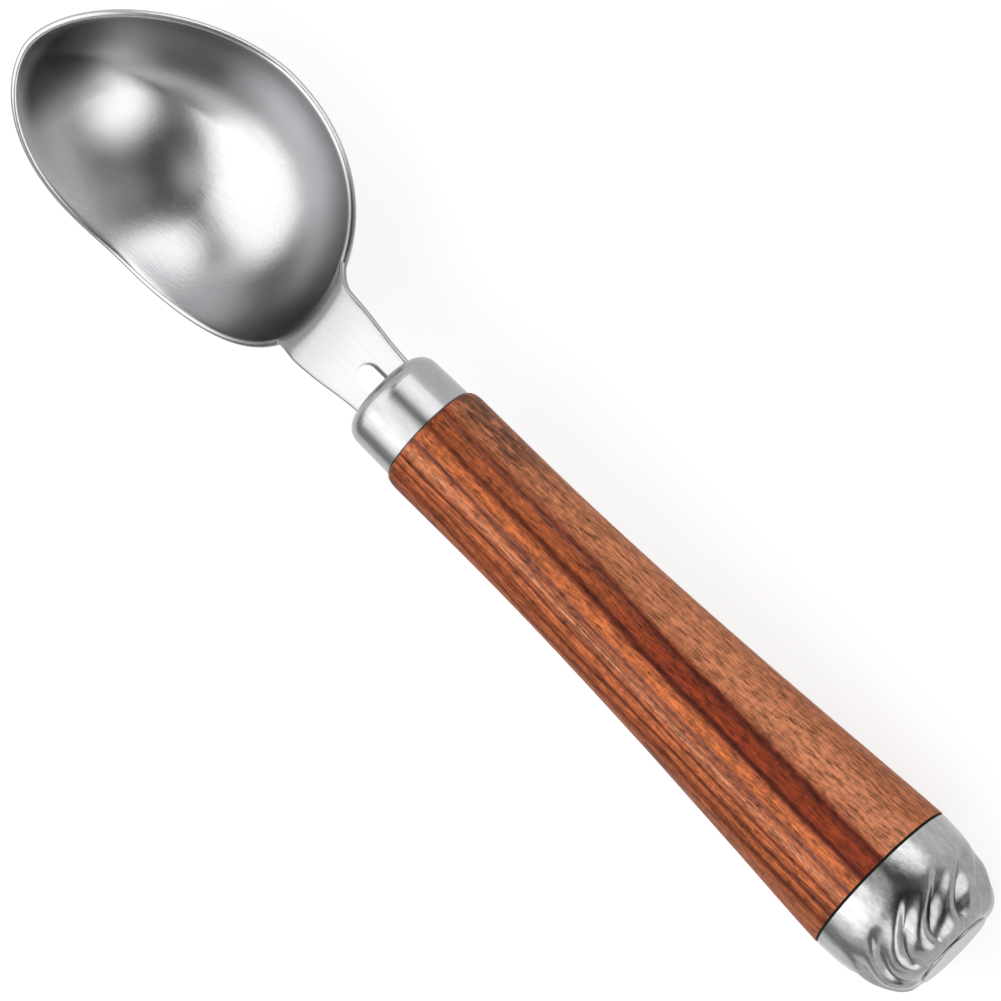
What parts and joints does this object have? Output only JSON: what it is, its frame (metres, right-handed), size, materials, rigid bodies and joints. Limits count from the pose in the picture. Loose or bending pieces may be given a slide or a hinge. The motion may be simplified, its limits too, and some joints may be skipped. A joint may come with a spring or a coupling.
{
  "type": "ice cream scoop",
  "caption": "Ice cream scoop with a deep pressed steel bowl, flat neck, ferrule, flared wood grip and swirl-fluted cast end cap.",
  "frame": {"origin": "centre of the end cap's flat butt face", "axes": "+X leaves the butt along the handle's axis, so the bowl lies towards -X; +Z is the side to which the bowl opens"},
  "size_m": [0.2159, 0.048, 0.0421],
  "materials": {
    "bowl_steel": "satin",
    "tang_steel": "satin",
    "ferrule_steel": "satin",
    "grip_wood": "oiled, satin",
    "fastener_steel": "plain",
    "spacer_fibre": "matte",
    "cap_metal": "satin pewter-grey casting"
  },
  "bodies": {
    "root": {"scoop_head": "bowl_steel", "tang_rod": "tang_steel", "ferrule": "ferrule_steel", "grip": "grip_wood", "tang_washer": "fastener_steel", "tang_nut": "fastener_steel", "cap_spacer": "spacer_fibre", "end_cap": "cap_metal"}
  },
  "joints": []
}
